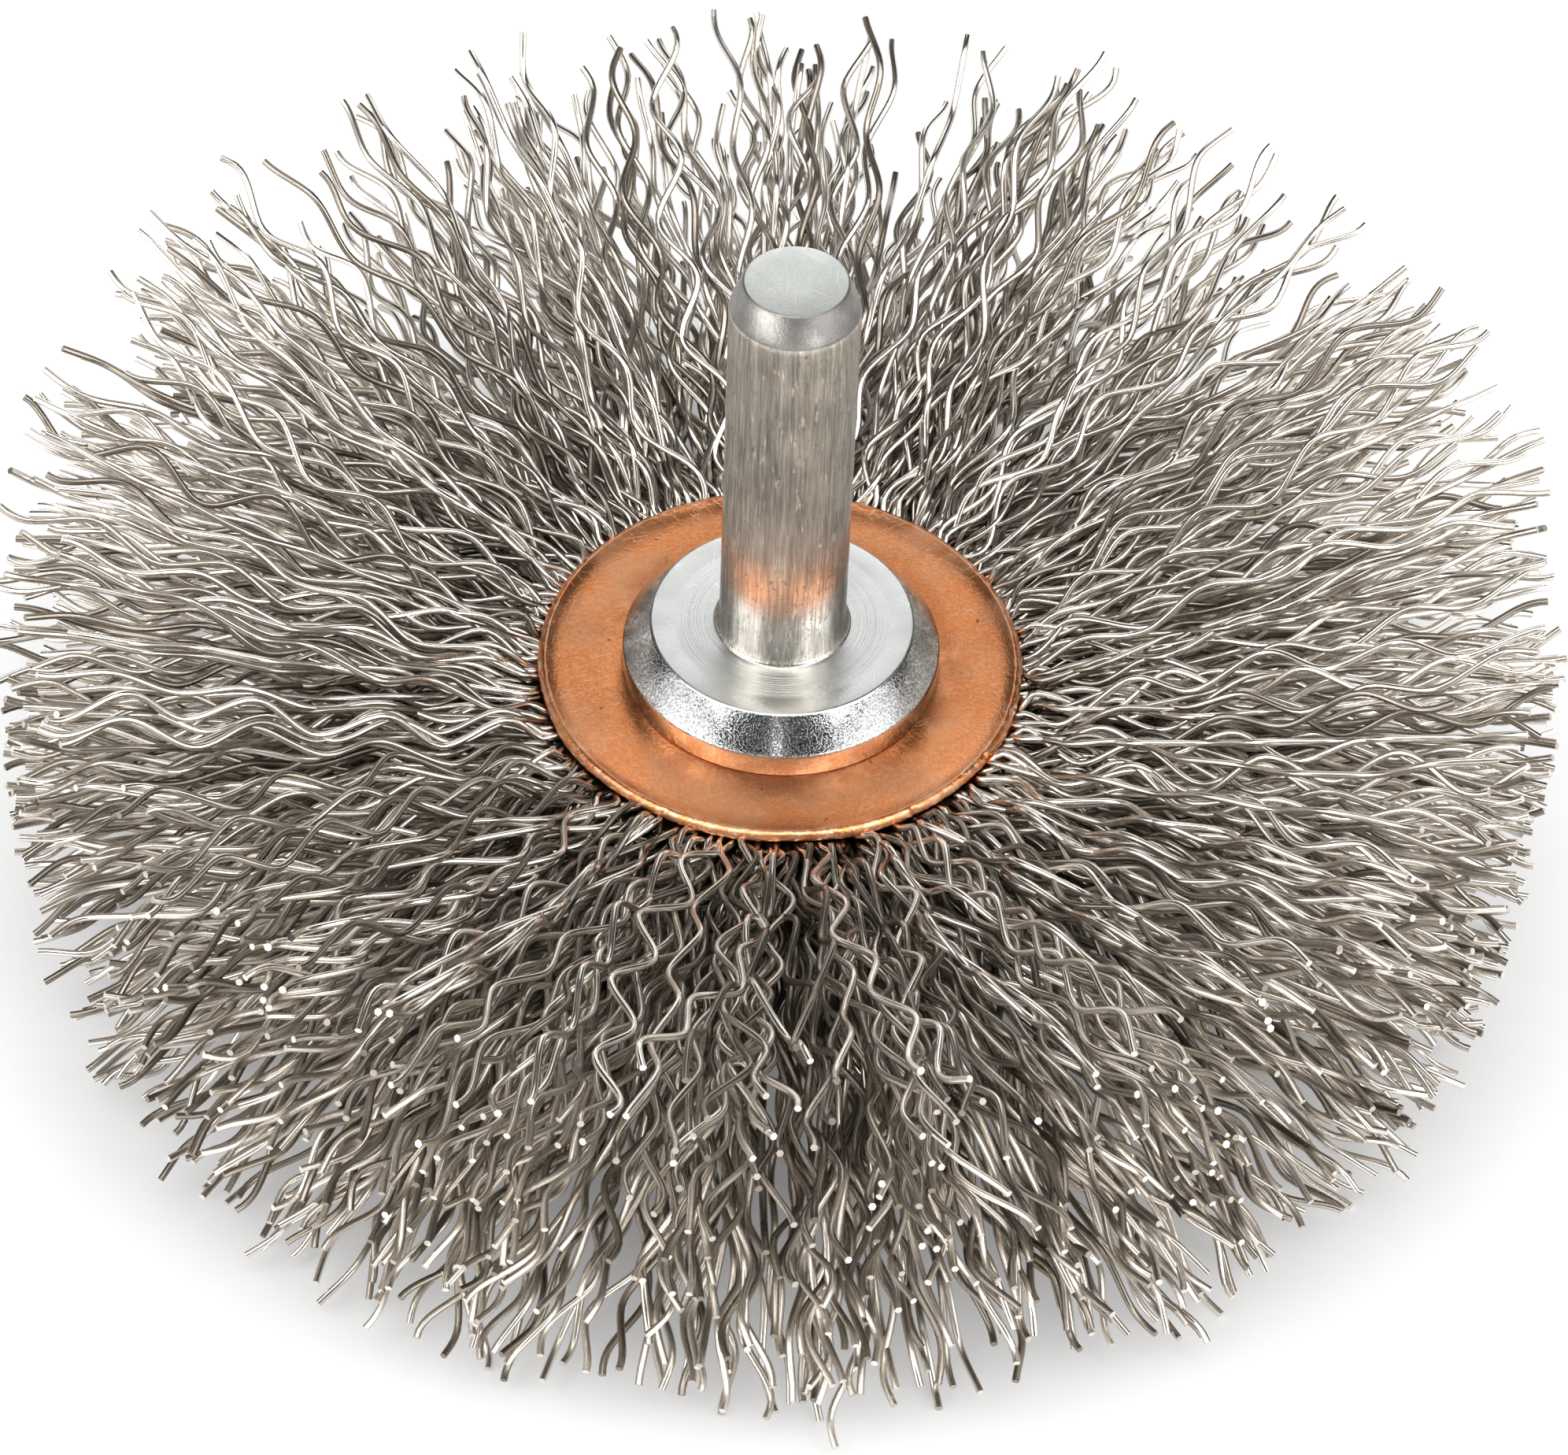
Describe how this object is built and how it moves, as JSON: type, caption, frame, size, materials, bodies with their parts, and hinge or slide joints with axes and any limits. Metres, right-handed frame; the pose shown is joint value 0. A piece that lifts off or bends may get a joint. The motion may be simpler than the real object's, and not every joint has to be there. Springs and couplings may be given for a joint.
{
  "type": "crimped wire wheel brush",
  "caption": "Wheel brush of crimped steel wire between two coppered cover discs, on a steel drill shank with a bevelled collar, for derusting and deburring.",
  "frame": {"origin": "on the shank's axis, in the plane that the lowest wire tips stand on", "axes": "+Z along the shank, from the wheel towards the shank's end; X and Y lie in the wheel's plane"},
  "size_m": [0.0734, 0.0734, 0.038],
  "materials": {
    "turned_steel": "turned, zinc-grey, satin",
    "coppered_steel": "thin copper plating on pressed steel, satin",
    "plain_steel": "plain mild steel",
    "crimped_wire": "bright drawn and crimped"
  },
  "bodies": {
    "root": {"spindle": "turned_steel", "front_cover_disc": "coppered_steel", "back_cover_disc": "coppered_steel", "hub_bush": "plain_steel", "core_ring": "plain_steel", "rivet_washer": "plain_steel", "wire_tuft_01": "crimped_wire", "wire_tuft_02": "crimped_wire", "wire_tuft_03": "crimped_wire", "wire_tuft_04": "crimped_wire", "wire_tuft_05": "crimped_wire", "wire_tuft_06": "crimped_wire", "wire_tuft_07": "crimped_wire", "wire_tuft_08": "crimped_wire", "wire_tuft_09": "crimped_wire", "wire_tuft_10": "crimped_wire", "wire_tuft_11": "crimped_wire", "wire_tuft_12": "crimped_wire", "wire_tuft_13": "crimped_wire", "wire_tuft_14": "crimped_wire", "wire_tuft_15": "crimped_wire", "wire_tuft_16": "crimped_wire", "wire_tuft_17": "crimped_wire", "wire_tuft_18": "crimped_wire", "wire_tuft_19": "crimped_wire", "wire_tuft_20": "crimped_wire", "wire_tuft_21": "crimped_wire", "wire_tuft_22": "crimped_wire", "wire_tuft_23": "crimped_wire", "wire_tuft_24": "crimped_wire"}
  },
  "joints": []
}
